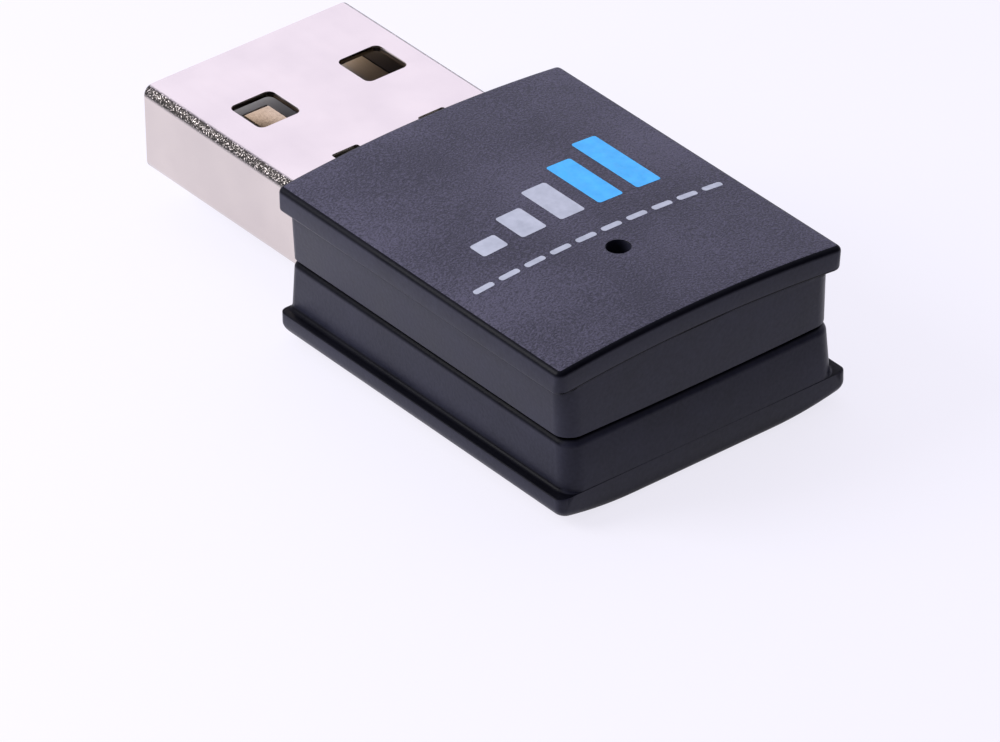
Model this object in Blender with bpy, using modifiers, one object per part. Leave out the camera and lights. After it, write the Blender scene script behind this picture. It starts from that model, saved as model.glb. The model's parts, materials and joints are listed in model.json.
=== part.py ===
# A short wireless network adapter: a two-part black case with a plug on one end.
# X runs along the adapter with the plug mouth at minus X, Z is up, and the origin
# lies under the middle of the case and plug, on the face that the adapter rests on.
# All named sizes are in millimetres.

import math

import bmesh
import bpy
from mathutils import Matrix, Vector

MM = 0.001

# Plug
PLUG_REACH = 12.92             # from the mouth to the case
SHELL_WIDTH = 12.0
SHELL_HEIGHT = 4.5
SHELL_SHEET = 0.3
SHELL_BEND = 0.5               # outer radius of the folded edges
SHELL_TAIL = 4.6               # shell length held inside the case
WINDOW_LENGTH = 2.45           # along X
WINDOW_WIDTH = 2.42            # along Y
WINDOW_ROUND = 0.3
WINDOW_SETBACK = 5.2           # mouth to the middle of the windows
WINDOW_SPACING = 6.26
PUNCH_SHIFT = 0.2              # windows and slots sit off the middle of the shell
LATCH_LENGTH = 1.5             # slots that hold the insulator
LATCH_WIDTH = 1.5
LATCH_SETBACK = 1.9            # case to the middle of the slots
LATCH_SPACING = 5.0
TAB_LENGTH = 1.6               # solder tabs behind the shell
TAB_HEIGHT = 1.5

# Insulator and contacts
TONGUE_SETBACK = 0.5           # behind the mouth
TONGUE_THICKNESS = 1.84
REAR_BLOCK_REACH = 3.2         # rear block, in front of the case
CONTACT_WIDTH = 1.4
CONTACT_THICKNESS = 0.25
CONTACT_PROUD = 0.05
CONTACT_OUTER_Y = 3.5
CONTACT_INNER_Y = 1.1
CONTACT_OUTER_SETBACK = 1.5    # mouth to the power and ground contacts
CONTACT_INNER_SETBACK = 1.9    # mouth to the data contacts
CONTACT_FOOT = 1.1

# Case
CASE_LENGTH = 20.36            # lower flange
CASE_WIDTH = 16.56             # lower flange
CASE_SIDE_HEIGHT = 8.14        # at the long top edges
TOP_INSET = 0.10               # top plate inside the lower flange, all round
CROWN_RISE = 0.45              # extra height along the middle of the top
FOOT_RISE = 0.50               # underside lifts towards the long edges
FOOT_LAND = 8.0                # flat width in the middle of the underside
TOP_FLANGE = 1.25
LEDGE_HEIGHT = 1.54            # upper face of the lower flange
FLANGE_CORNER = 0.4
FOOT_ROUND = 0.5
TOP_ROUND = 0.12
SIDE_SETBACK = 0.54            # side walls inside the lower flange
SIDE_DRAFT = 0.07              # walls draw in towards the split
ROOT_FILLET = 0.22             # side wall into flange
UPPER_END_STEP = 0.1           # lower flange past the end wall of the upper half
LOWER_END_STEP = 0.04          # lower flange past the end wall of the lower half
END_DRAFT = 0.08
FRONT_STEP = 0.2               # lower flange past the plug-end wall
CORE_END_CORNER = 0.9
CORE_FRONT_CORNER = 0.5
END_BULGE = 0.12
SPLIT_HEIGHT = 4.2
SPLIT_GAP = 0.22
SIDE_WALL = 1.1
FRONT_WALL = 1.2
END_WALL = 1.15
FLOOR = 1.1
CEILING = 1.25
LIP_THICKNESS = 0.5            # tongue of the lower half inside the upper half
LIP_RISE = 0.9
SNAP_LENGTH = 4.0
SNAP_DEPTH = 0.18
SNAP_HEIGHT = 0.3
LED_HOLE = 1.12
LED_TO_END = 6.0
LED_TUBE_WALL = 0.5
LED_TUBE_CLEAR = 0.6           # above the lamp

# Circuit board
BOARD_THICKNESS = 0.8
BOARD_DROP = 0.85              # below the split
PIN_DIAMETER = 0.9             # locating pins of the lower half
PIN_COLLAR = 0.4
PIN_ALONG = 8.9                # board front edge to the pins
PIN_ACROSS = 4.4
TRACE_WIDTH = 0.5
TRACE_THICKNESS = 0.08
TRACE_TURNS = 5
TRACE_SPAN = 2.4
ANTENNA_ALONG = 11.0
ANTENNA_ACROSS = 3.3

# Clearances
FIT = 0.05                     # sliding fits
SEAT = 0.02                    # faces that rest on each other
BOARD_PLAY = 0.15              # board in the case

# Heights and stations that follow from the sizes above
MOUTH_X = -(PLUG_REACH + CASE_LENGTH) / 2
FACE_X = MOUTH_X + PLUG_REACH
END_X = FACE_X + CASE_LENGTH
SHELL_REAR = FACE_X + SHELL_TAIL
PLUG_Z = SPLIT_HEIGHT
SHELL_LOW = PLUG_Z - SHELL_HEIGHT / 2
SHELL_HIGH = PLUG_Z + SHELL_HEIGHT / 2
BORE_LOW = SHELL_LOW + SHELL_SHEET
BORE_HIGH = SHELL_HIGH - SHELL_SHEET
BORE_HALF = SHELL_WIDTH / 2 - SHELL_SHEET
TONGUE_LOW = BORE_LOW + SEAT
TONGUE_HIGH = TONGUE_LOW + TONGUE_THICKNESS
CASE_HALF = CASE_WIDTH / 2
TOP_HALF = CASE_HALF - TOP_INSET
CORE_HALF = CASE_HALF - SIDE_SETBACK - SIDE_DRAFT
ROOM_HALF = CORE_HALF - SIDE_WALL
ROOM_FRONT = FACE_X + FRONT_WALL
ROOM_END = END_X - END_WALL
LOWER_RIM = SPLIT_HEIGHT - SPLIT_GAP / 2
UPPER_RIM = SPLIT_HEIGHT + SPLIT_GAP / 2
LIP_TOP = LOWER_RIM + LIP_RISE
BOARD_TOP = SPLIT_HEIGHT - BOARD_DROP
BOARD_LOW = BOARD_TOP - BOARD_THICKNESS
BOARD_FRONT = SHELL_REAR + BOARD_PLAY
BOARD_END = ROOM_END - BOARD_PLAY
BOARD_HALF = ROOM_HALF - BOARD_PLAY
LED_X = END_X - LED_TO_END

BLACK = (0.035, 0.034, 0.040)
NICKEL = (0.72, 0.70, 0.69)
RESIN_GREY = (0.26, 0.25, 0.21)
GOLD = (0.83, 0.60, 0.24)
BOARD_GREEN = (0.02, 0.12, 0.06)
CHIP_BLACK = (0.02, 0.02, 0.022)
STEEL = (0.60, 0.60, 0.61)
CERAMIC = (0.42, 0.30, 0.20)
COPPER = (0.75, 0.40, 0.22)
FERRITE = (0.09, 0.09, 0.10)
LENS = (0.85, 0.86, 0.78)

for old in list(bpy.data.objects):
    bpy.data.objects.remove(old, do_unlink=True)

parts = bpy.data.collections.new("usb_wifi_adapter")
tools = bpy.data.collections.new("cutters_and_blanks")
bpy.context.scene.collection.children.link(parts)
bpy.context.scene.collection.children.link(tools)


def add_mesh(name, bm, collection):
    bmesh.ops.scale(bm, vec=Vector((MM, MM, MM)), verts=bm.verts)
    bmesh.ops.recalc_face_normals(bm, faces=bm.faces)
    mesh = bpy.data.meshes.new(name)
    bm.to_mesh(mesh)
    bm.free()
    item = bpy.data.objects.new(name, mesh)
    collection.objects.link(item)
    if collection is tools:
        item.hide_render = True
        item.display_type = 'WIRE'
    return item


def block(name, low, high, collection=tools):
    bm = bmesh.new()
    bmesh.ops.create_cube(bm, size=1.0)
    middle = [(a + b) / 2 for a, b in zip(low, high)]
    size = [b - a for a, b in zip(low, high)]
    bmesh.ops.scale(bm, vec=Vector(size), verts=bm.verts)
    bmesh.ops.translate(bm, vec=Vector(middle), verts=bm.verts)
    return add_mesh(name, bm, collection)


def post(name, x, y, diameter, low, high, collection=tools):
    bm = bmesh.new()
    bmesh.ops.create_cone(
        bm, cap_ends=True, segments=32, radius1=diameter / 2, radius2=diameter / 2,
        depth=high - low, matrix=Matrix.Translation((x, y, (low + high) / 2)))
    return add_mesh(name, bm, collection)


def slab(name, outline, axis, low, high, collection=tools):
    # A flat outline, drawn square to one axis and given its thickness along it.
    curve = bpy.data.curves.new(name, 'CURVE')
    curve.dimensions = '2D'
    curve.fill_mode = 'BOTH'
    curve.extrude = (high - low) / 2
    spline = curve.splines.new('POLY')
    spline.points.add(len(outline) - 1)
    for point, (u, v) in zip(spline.points, outline):
        point.co = (u, v, 0.0, 1.0)
    spline.use_cyclic_u = True
    drawn = bpy.data.objects.new(name + "_outline", curve)
    tools.objects.link(drawn)
    graph = bpy.context.evaluated_depsgraph_get()
    mesh = bpy.data.meshes.new_from_object(drawn.evaluated_get(graph))
    bm = bmesh.new()
    bm.from_mesh(mesh)
    bpy.data.objects.remove(drawn, do_unlink=True)
    bpy.data.meshes.remove(mesh)
    bmesh.ops.remove_doubles(bm, verts=bm.verts, dist=0.0005)
    bmesh.ops.dissolve_limit(bm, angle_limit=math.radians(0.1), verts=bm.verts, edges=bm.edges)
    turn = {
        'X': Matrix(((0, 0, 1), (1, 0, 0), (0, 1, 0))),
        'Y': Matrix(((1, 0, 0), (0, 0, -1), (0, 1, 0))),
        'Z': Matrix.Identity(3),
    }[axis]
    bmesh.ops.transform(bm, matrix=turn.to_4x4(), verts=bm.verts)
    step = {'X': (1, 0, 0), 'Y': (0, 1, 0), 'Z': (0, 0, 1)}[axis]
    bmesh.ops.translate(bm, vec=Vector(step) * (low + high) / 2, verts=bm.verts)
    return add_mesh(name, bm, collection)


def loft(name, rings, collection=tools):
    # Skin between like-numbered plan outlines at rising heights, closed at both ends.
    bm = bmesh.new()
    loops = []
    for height, outline in rings:
        verts = [bm.verts.new((x, y, height)) for x, y in outline]
        edges = [bm.edges.new((a, b)) for a, b in zip(verts, verts[1:] + verts[:1])]
        loops.append(edges)
    for lower, upper in zip(loops, loops[1:]):
        bmesh.ops.bridge_loops(bm, edges=lower + upper)
    bmesh.ops.contextual_create(bm, geom=loops[0])
    bmesh.ops.contextual_create(bm, geom=loops[-1])
    return add_mesh(name, bm, collection)


def combine(item, tool, operation):
    step = item.modifiers.new(tool.name, 'BOOLEAN')
    step.operation = operation
    step.solver = 'EXACT'
    step.object = tool


def join(item, tool):
    combine(item, tool, 'UNION')


def cut(item, tool):
    combine(item, tool, 'DIFFERENCE')


def round_edges(item, width, segments=2, angle=50):
    bevel = item.modifiers.new("round", 'BEVEL')
    bevel.width = width * MM
    bevel.segments = segments
    bevel.limit_method = 'ANGLE'
    bevel.angle_limit = math.radians(angle)


def round_foot(item):
    # Full rounding round the foot, less up the corners, none on the ledge.
    mesh = item.data
    weights = mesh.attributes.new("bevel_weight_edge", 'FLOAT', 'EDGE')
    for edge in mesh.edges:
        a, b = [mesh.vertices[i].co / MM for i in edge.vertices]
        run = b - a
        low = max(a.z, b.z) < FOOT_RISE + SEAT
        at_end = min(a.x, b.x) > END_X - SEAT or max(a.x, b.x) < FACE_X + SEAT
        at_side = min(abs(a.y), abs(b.y)) > CASE_HALF - SEAT
        if low and (at_end or at_side):
            weights.data[edge.index].value = 1.0
        elif at_end and at_side and abs(run.z) > SEAT:
            weights.data[edge.index].value = FLANGE_CORNER / FOOT_ROUND
    bevel = item.modifiers.new("round_foot", 'BEVEL')
    bevel.width = FOOT_ROUND * MM
    bevel.segments = 4
    bevel.limit_method = 'WEIGHT'


def finish(item, colour, roughness, metallic=0.0):
    material = bpy.data.materials.new(item.name + "_finish")
    material.use_nodes = True
    shader = material.node_tree.nodes["Principled BSDF"]
    shader.inputs["Base Color"].default_value = (*colour, 1.0)
    shader.inputs["Roughness"].default_value = roughness
    shader.inputs["Metallic"].default_value = metallic
    item.data.materials.append(material)
    item.data.shade_smooth()
    item.data.set_sharp_from_angle(angle=math.radians(35))
    return item


def rounded(low_u, high_u, low_v, high_v, radius, far_radius=None, steps=6):
    # Rectangle with round corners; the two corners at high_u may have their own radius.
    far = radius if far_radius is None else far_radius
    corners = [
        (high_u - far, high_v - far, far, 0),
        (low_u + radius, high_v - radius, radius, 90),
        (low_u + radius, low_v + radius, radius, 180),
        (high_u - far, low_v + far, far, 270),
    ]
    points = []
    for u, v, size, start in corners:
        for i in range(steps + 1):
            turn = math.radians(start + 90 * i / steps)
            points.append((u + size * math.cos(turn), v + size * math.sin(turn)))
    return points


def ribbon(path, width):
    # Outline of a strip of even width along a bent path.
    path = [Vector(p) for p in path]
    left = []
    right = []
    for i, point in enumerate(path):
        back = (point - path[i - 1]).normalized() if i > 0 else None
        ahead = (path[i + 1] - point).normalized() if i + 1 < len(path) else None
        back = back or ahead
        ahead = ahead or back
        side = Vector((-(back.y + ahead.y), back.x + ahead.x)).normalized()
        reach = width / 2 / max(0.2, side.dot(Vector((-ahead.y, ahead.x))))
        left.append(tuple(point + side * reach))
        right.append(tuple(point - side * reach))
    return right + left[::-1]


def crown(y, drop):
    return CASE_SIDE_HEIGHT + CROWN_RISE * (1 - (y / TOP_HALF) ** 2) - drop


def sole(y):
    past = max(0.0, abs(y) - FOOT_LAND / 2)
    return FOOT_RISE * (past / (CASE_HALF - FOOT_LAND / 2)) ** 2


def across(half, height, steps=16):
    # Points from one side to the other, at a height that depends on the place across.
    ys = [half - 2 * half * i / steps for i in range(steps + 1)]
    return [(y, height(y)) for y in ys]


def core_plan(side_inset, end_inset):
    half = CASE_HALF - side_inset
    points = rounded(FACE_X + FRONT_STEP, END_X - end_inset, -half, half,
                     CORE_FRONT_CORNER, CORE_END_CORNER)
    plan = []
    for x, y in points:
        if x > END_X - CORE_END_CORNER - end_inset - FIT:
            x -= END_BULGE * (y / half) ** 2
        plan.append((x, y))
    return plan


def wall_rings(rim, root, end_step, embed):
    # Outer wall from the split to the flange, with a hollow fillet at the flange.
    side = 1 if root > rim else -1
    rings = [(rim, core_plan(SIDE_SETBACK + SIDE_DRAFT, end_step + END_DRAFT))]
    for i in range(4):
        turn = math.radians(90 * i / 3)
        height = root - side * ROOT_FILLET * (1 - math.sin(turn))
        flare = ROOT_FILLET * (1 - math.cos(turn))
        rings.append((height, core_plan(SIDE_SETBACK - flare, end_step)))
    rings.append((root + side * embed, core_plan(SIDE_SETBACK - ROOT_FILLET, end_step)))
    return sorted(rings, key=lambda ring: ring[0])


# Opening that both halves leave for the plug
plug_opening = slab(
    "plug_opening",
    rounded(-SHELL_WIDTH / 2 - FIT, SHELL_WIDTH / 2 + FIT, SHELL_LOW - FIT, SHELL_HIGH + FIT,
            SHELL_BEND + FIT),
    'X', FACE_X - FRONT_WALL, ROOM_FRONT + FRONT_WALL)

# Upper half: crowned top plate over a drawn-in wall
plate_section = (across(TOP_HALF, lambda y: crown(y, 0.0))
                 + across(TOP_HALF, lambda y: crown(y, TOP_FLANGE))[::-1])
upper_case = slab("upper_case", plate_section, 'X', FACE_X + TOP_INSET, END_X - TOP_INSET, parts)
round_edges(upper_case, TOP_ROUND, angle=60)
upper_root = crown(CORE_HALF, TOP_FLANGE)
join(upper_case, loft(
    "upper_wall", wall_rings(UPPER_RIM, upper_root, UPPER_END_STEP, TOP_FLANGE / 3)))
lip_half = ROOM_HALF + LIP_THICKNESS
lip_front = ROOM_FRONT - LIP_THICKNESS
lip_end = ROOM_END + LIP_THICKNESS
cut(upper_case, block(
    "lip_rebate",
    (lip_front - FIT, -lip_half - FIT, UPPER_RIM - SPLIT_GAP),
    (lip_end + FIT, lip_half + FIT, LIP_TOP + FIT)))
room_section = across(ROOM_HALF, lambda y: crown(y, CEILING))
room_section += [(-ROOM_HALF, UPPER_RIM - SPLIT_GAP), (ROOM_HALF, UPPER_RIM - SPLIT_GAP)]
cut(upper_case, slab("upper_room", room_section, 'X', ROOM_FRONT, ROOM_END))
snap_x = (ROOM_FRONT + ROOM_END) / 2
snap_z = (UPPER_RIM + LIP_TOP) / 2
cut(upper_case, block(
    "snap_pockets",
    (snap_x - SNAP_LENGTH / 2 - FIT, -lip_half - SNAP_DEPTH - FIT, snap_z - SNAP_HEIGHT / 2 - FIT),
    (snap_x + SNAP_LENGTH / 2 + FIT, lip_half + SNAP_DEPTH + FIT, snap_z + SNAP_HEIGHT / 2 + FIT)))
cut(upper_case, plug_opening)
pin_x = BOARD_FRONT + PIN_ALONG
collar = PIN_DIAMETER + 2 * PIN_COLLAR
led_size = (1.6, 0.8, 0.6)
led_top = BOARD_TOP + SEAT + led_size[2]
tube_diameter = LED_HOLE + 2 * LED_TUBE_WALL
join(upper_case, post("led_tube", LED_X, 0.0, tube_diameter, led_top + LED_TUBE_CLEAR,
                      crown(0.0, CEILING / 2)))
for side in (-1, 1):
    join(upper_case, post(f"board_press_{side}", pin_x, side * PIN_ACROSS, collar,
                          BOARD_TOP + FIT, crown(PIN_ACROSS, CEILING / 2)))
cut(upper_case, post("led_bore", LED_X, 0.0, LED_HOLE, led_top + FIT,
                     CASE_SIDE_HEIGHT + CROWN_RISE + FIT))
finish(upper_case, BLACK, 0.55)

# Lower half: flange with a rounded foot, drawn-in wall, lip, board posts and pins
foot_section = [(CASE_HALF, LEDGE_HEIGHT), (-CASE_HALF, LEDGE_HEIGHT)]
foot_section += across(CASE_HALF, sole, 24)[::-1]
lower_case = slab("lower_case", foot_section, 'X', FACE_X, END_X, parts)
round_foot(lower_case)
join(lower_case, loft(
    "lower_wall", wall_rings(LOWER_RIM, LEDGE_HEIGHT, LOWER_END_STEP, LEDGE_HEIGHT / 3)))
join(lower_case, block(
    "lip", (lip_front, -lip_half, LOWER_RIM - LIP_RISE), (lip_end, lip_half, LIP_TOP)))
join(lower_case, block(
    "snap_bars",
    (snap_x - SNAP_LENGTH / 2, -lip_half - SNAP_DEPTH, snap_z - SNAP_HEIGHT / 2),
    (snap_x + SNAP_LENGTH / 2, lip_half + SNAP_DEPTH, snap_z + SNAP_HEIGHT / 2)))
cut(lower_case, block(
    "lower_room", (ROOM_FRONT, -ROOM_HALF, FLOOR), (ROOM_END, ROOM_HALF, LIP_TOP + FIT)))
cut(lower_case, plug_opening)
for side in (-1, 1):
    y = side * PIN_ACROSS
    join(lower_case, post(f"board_seat_{side}", pin_x, y, collar, FLOOR / 2, BOARD_LOW - SEAT))
    join(lower_case, post(f"board_pin_{side}", pin_x, y, PIN_DIAMETER, FLOOR / 2, BOARD_TOP))
seat_front = BOARD_FRONT + CONTACT_FOOT
for side in (-1, 1):
    edge = side * ROOM_HALF
    inner = side * (BOARD_HALF - collar)
    outer = edge + side * SIDE_WALL / 2
    join(lower_case, block(
        f"board_rib_{side}",
        (seat_front + TAB_LENGTH, min(inner, outer), FLOOR / 2),
        (seat_front + TAB_LENGTH + collar, max(inner, outer), BOARD_LOW - SEAT)))
finish(lower_case, BLACK, 0.5)

# Plug shell: folded sheet with windows, latch slots and solder tabs
half_width = SHELL_WIDTH / 2
plug_shell = slab(
    "plug_shell", rounded(-half_width, half_width, SHELL_LOW, SHELL_HIGH, SHELL_BEND),
    'X', MOUTH_X, SHELL_REAR + TAB_LENGTH, parts)
cut(plug_shell, slab(
    "shell_bore",
    rounded(-BORE_HALF, BORE_HALF, BORE_LOW, BORE_HIGH, SHELL_BEND - SHELL_SHEET),
    'X', MOUTH_X - SHELL_SHEET, SHELL_REAR + TAB_LENGTH + SHELL_SHEET))
tab_low = BOARD_TOP - TAB_HEIGHT / 2
tab_high = BOARD_TOP + TAB_HEIGHT / 2
cut(plug_shell, block(
    "shell_back_upper", (SHELL_REAR, -SHELL_WIDTH, tab_high),
    (SHELL_REAR + 2 * TAB_LENGTH, SHELL_WIDTH, SHELL_HIGH + SHELL_SHEET)))
cut(plug_shell, block(
    "shell_back_lower", (SHELL_REAR, -SHELL_WIDTH, SHELL_LOW - SHELL_SHEET),
    (SHELL_REAR + 2 * TAB_LENGTH, SHELL_WIDTH, tab_low)))
window_x = MOUTH_X + WINDOW_SETBACK
latch_x = FACE_X - LATCH_SETBACK
for side in (-1, 1):
    y = side * WINDOW_SPACING / 2 + PUNCH_SHIFT
    cut(plug_shell, slab(
        f"windows_{side}",
        rounded(window_x - WINDOW_LENGTH / 2, window_x + WINDOW_LENGTH / 2,
                y - WINDOW_WIDTH / 2, y + WINDOW_WIDTH / 2, WINDOW_ROUND),
        'Z', SHELL_LOW - SHELL_SHEET, SHELL_HIGH + SHELL_SHEET))
    y = side * LATCH_SPACING / 2 + PUNCH_SHIFT
    cut(plug_shell, block(
        f"latch_slot_{side}",
        (latch_x - LATCH_LENGTH / 2, y - LATCH_WIDTH / 2, PLUG_Z),
        (latch_x + LATCH_LENGTH / 2, y + LATCH_WIDTH / 2, SHELL_HIGH + SHELL_SHEET)))
finish(plug_shell, NICKEL, 0.22, 1.0)

# Insulator: tongue and rear block, latched into the shell
insulator_front = MOUTH_X + TONGUE_SETBACK
insulator_rear = SHELL_REAR - SHELL_SHEET
block_front = FACE_X - REAR_BLOCK_REACH
insulator_half = BORE_HALF - SEAT
insulator_section = [
    (insulator_front, TONGUE_LOW), (insulator_rear, TONGUE_LOW),
    (insulator_rear, BORE_HIGH - SEAT), (block_front, BORE_HIGH - SEAT),
    (block_front, TONGUE_HIGH), (insulator_front, TONGUE_HIGH)]
plug_insulator = slab("plug_insulator", insulator_section, 'Y', -insulator_half, insulator_half, parts)
round_edges(plug_insulator, SHELL_BEND - SHELL_SHEET + FIT)
for side in (-1, 1):
    y = side * LATCH_SPACING / 2 + PUNCH_SHIFT
    join(plug_insulator, block(
        f"latch_lug_{side}",
        (latch_x - LATCH_LENGTH / 2 + FIT, y - LATCH_WIDTH / 2 + FIT, BORE_HIGH - SHELL_SHEET),
        (latch_x + LATCH_LENGTH / 2 - FIT, y + LATCH_WIDTH / 2 - FIT, BORE_HIGH + SHELL_SHEET / 2)))

# Contacts: strips in the tongue that drop to feet on the board
contact_top = TONGUE_HIGH + CONTACT_PROUD
contact_drop = SHELL_REAR + BOARD_PLAY + CONTACT_THICKNESS
contact_foot_z = BOARD_TOP + SEAT + CONTACT_THICKNESS / 2
contacts = {
    "contact_power": (CONTACT_OUTER_SETBACK, -CONTACT_OUTER_Y),
    "contact_data_minus": (CONTACT_INNER_SETBACK, -CONTACT_INNER_Y),
    "contact_data_plus": (CONTACT_INNER_SETBACK, CONTACT_INNER_Y),
    "contact_ground": (CONTACT_OUTER_SETBACK, CONTACT_OUTER_Y),
}
for name, (setback, y) in contacts.items():
    front = MOUTH_X + setback
    run_z = contact_top - CONTACT_THICKNESS / 2
    strip = ribbon(
        [(front, run_z), (contact_drop, run_z), (contact_drop, contact_foot_z),
         (contact_drop + CONTACT_FOOT, contact_foot_z)], CONTACT_THICKNESS)
    contact = slab(name, strip, 'Y', y - CONTACT_WIDTH / 2, y + CONTACT_WIDTH / 2, parts)
    finish(contact, GOLD, 0.25, 1.0)
    cut(plug_insulator, block(
        name + "_groove",
        (front - SEAT, y - CONTACT_WIDTH / 2 - SEAT, contact_top - CONTACT_THICKNESS - SEAT),
        (insulator_rear + SHELL_SHEET, y + CONTACT_WIDTH / 2 + SEAT, contact_top + SEAT)))
finish(plug_insulator, RESIN_GREY, 0.5)

# Circuit board, notched for the shell tabs and drilled for the pins
circuit_board = block("circuit_board", (BOARD_FRONT, -BOARD_HALF, BOARD_LOW),
                      (BOARD_END, BOARD_HALF, BOARD_TOP), parts)
for side in (-1, 1):
    inner = side * (BORE_HALF - FIT)
    outer = side * CASE_HALF
    cut(circuit_board, block(
        f"tab_notch_{side}", (BOARD_FRONT - BOARD_PLAY, min(inner, outer), BOARD_LOW - FIT),
        (SHELL_REAR + TAB_LENGTH + FIT, max(inner, outer), BOARD_TOP + FIT)))
    cut(circuit_board, post(f"pin_hole_{side}", pin_x, side * PIN_ACROSS, PIN_DIAMETER + 2 * FIT,
                            BOARD_LOW - FIT, BOARD_TOP + FIT))
finish(circuit_board, BOARD_GREEN, 0.4)

# Small parts on the board: distance behind its front edge, across, and size
led_along = LED_X - BOARD_FRONT
small_parts = {
    "wireless_chip": (6.0, 0.0, (5.0, 5.0, 0.85), CHIP_BLACK, 0.5, 0.0),
    "memory_chip": (5.4, 4.45, (3.0, 2.0, 0.6), CHIP_BLACK, 0.5, 0.0),
    "crystal": (5.2, -4.4, (2.5, 2.0, 0.6), STEEL, 0.3, 1.0),
    "voltage_regulator": (2.6, 3.4, (1.3, 2.9, 1.1), CHIP_BLACK, 0.5, 0.0),
    "inductor": (2.6, -3.6, (1.6, 2.0, 1.0), FERRITE, 0.6, 0.0),
    "status_led": (led_along, 0.0, led_size, LENS, 0.2, 0.0),
    "capacitor_input": (2.2, 1.1, (0.8, 1.0, 0.8), CERAMIC, 0.5, 0.0),
    "capacitor_output": (2.2, -1.4, (0.8, 1.6, 0.8), CERAMIC, 0.5, 0.0),
    "capacitor_core": (9.1, 1.6, (0.5, 1.0, 0.5), CERAMIC, 0.5, 0.0),
    "capacitor_radio": (9.1, -1.6, (0.5, 1.0, 0.5), CERAMIC, 0.5, 0.0),
    "capacitor_crystal_a": (7.2, -3.7, (0.5, 1.0, 0.5), CERAMIC, 0.5, 0.0),
    "capacitor_crystal_b": (7.2, -5.2, (0.5, 1.0, 0.5), CERAMIC, 0.5, 0.0),
    "resistor_led": (10.4, 2.0, (1.0, 0.5, 0.35), CHIP_BLACK, 0.4, 0.0),
    "resistor_bias": (7.6, 4.0, (0.5, 1.0, 0.35), CHIP_BLACK, 0.4, 0.0),
    "match_coil_a": (10.3, -3.3, (1.0, 0.5, 0.5), FERRITE, 0.4, 0.0),
    "match_coil_b": (10.3, 3.3, (1.0, 0.5, 0.5), FERRITE, 0.4, 0.0),
}
for name, (along, across, size, colour, roughness, metallic) in small_parts.items():
    x = BOARD_FRONT + along
    base = BOARD_TOP + SEAT
    chip = block(name, (x - size[0] / 2, across - size[1] / 2, base),
                 (x + size[0] / 2, across + size[1] / 2, base + size[2]), parts)
    finish(chip, colour, roughness, metallic)

# Printed antennas: one folded copper trace on each side of the far end
for name, side in (("antenna_main", -1), ("antenna_second", 1)):
    pitch = 2 * TRACE_WIDTH
    path = [(BOARD_FRONT + ANTENNA_ALONG, side * (ANTENNA_ACROSS - pitch * TRACE_TURNS / 2))]
    for i in range(TRACE_TURNS):
        y = side * (ANTENNA_ACROSS + pitch * (i - TRACE_TURNS / 2 + 1))
        reach = ANTENNA_ALONG + (TRACE_SPAN if i % 2 == 0 else 0.0)
        path.append((BOARD_FRONT + reach, path[-1][1]))
        path.append((BOARD_FRONT + reach, y))
    trace = slab(name, ribbon(path, TRACE_WIDTH), 'Z', BOARD_TOP + SEAT,
                 BOARD_TOP + SEAT + TRACE_THICKNESS, parts)
    finish(trace, COPPER, 0.35, 1.0)
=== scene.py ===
import json
import math

import bpy
from mathutils import Matrix, Vector


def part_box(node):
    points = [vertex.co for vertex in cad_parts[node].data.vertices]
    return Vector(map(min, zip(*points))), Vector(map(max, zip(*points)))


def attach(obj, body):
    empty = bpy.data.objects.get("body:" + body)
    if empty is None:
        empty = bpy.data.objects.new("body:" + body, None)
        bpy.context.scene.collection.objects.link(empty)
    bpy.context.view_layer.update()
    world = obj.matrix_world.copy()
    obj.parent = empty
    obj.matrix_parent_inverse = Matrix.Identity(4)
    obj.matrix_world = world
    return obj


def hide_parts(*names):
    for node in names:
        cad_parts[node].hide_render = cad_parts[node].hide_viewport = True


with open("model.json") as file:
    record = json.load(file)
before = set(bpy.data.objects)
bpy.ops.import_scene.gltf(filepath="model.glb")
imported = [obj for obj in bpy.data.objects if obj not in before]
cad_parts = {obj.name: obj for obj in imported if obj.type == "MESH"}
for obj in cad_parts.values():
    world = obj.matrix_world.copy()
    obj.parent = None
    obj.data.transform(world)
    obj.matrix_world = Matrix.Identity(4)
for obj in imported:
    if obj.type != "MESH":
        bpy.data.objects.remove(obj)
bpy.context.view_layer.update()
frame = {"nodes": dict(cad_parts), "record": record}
nodes = frame["nodes"]
mm = 0.001

print("stage: helpers")
axisX, axisY, axisZ = range(3)
limits = {  # shares of a unit, lengths in millimetres, the cut in metres, angles in degrees
    "straight": 0.98, "facing": 0.9, "near": 0.01, "flat": 0.002, "hair": 0.001, "cut": 1e-7,
    "smoothAngle": 35, "softAngle": 60,
}
facets = {  # steps in a rounded edge, and sides of a rod
    "fine": 10, "roll": 7, "corner": 6, "edge": 5, "low": 4, "least": 3, "soft": 2, "rod": 64,
}


def leaveEdit():
    bpy.ops.object.mode_set(mode='OBJECT')


def clearSelection():
    if bpy.context.object and bpy.context.object.mode != 'OBJECT':
        leaveEdit()
    bpy.ops.object.select_all(action='DESELECT')


def makeActive(piece):
    clearSelection()
    piece.select_set(True)
    bpy.context.view_layer.objects.active = piece


def settle(name, scale=(1, 1, 1)):  # names the new primitive and applies its place and size
    piece = bpy.context.object
    piece.name = name
    piece.data.name = name
    piece.scale = scale
    bpy.ops.object.transform_apply(location=True, rotation=True, scale=True)
    return piece


def addBox(name, low, high):  # a cube primitive set to two corners, in millimetres
    clearSelection()
    middle = [(a + b) / 2 * mm for a, b in zip(low, high)]
    bpy.ops.mesh.primitive_cube_add(size=1, location=middle)
    return settle(name, [(b - a) * mm for a, b in zip(low, high)])


def addSheet(name, lowX, highX, half, height):  # a plane primitive lying at one height
    clearSelection()
    middle = ((lowX + highX) / 2 * mm, 0, height * mm)
    bpy.ops.mesh.primitive_plane_add(size=1, location=middle)
    return settle(name, ((highX - lowX) * mm, 2 * half * mm, 1))


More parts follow.
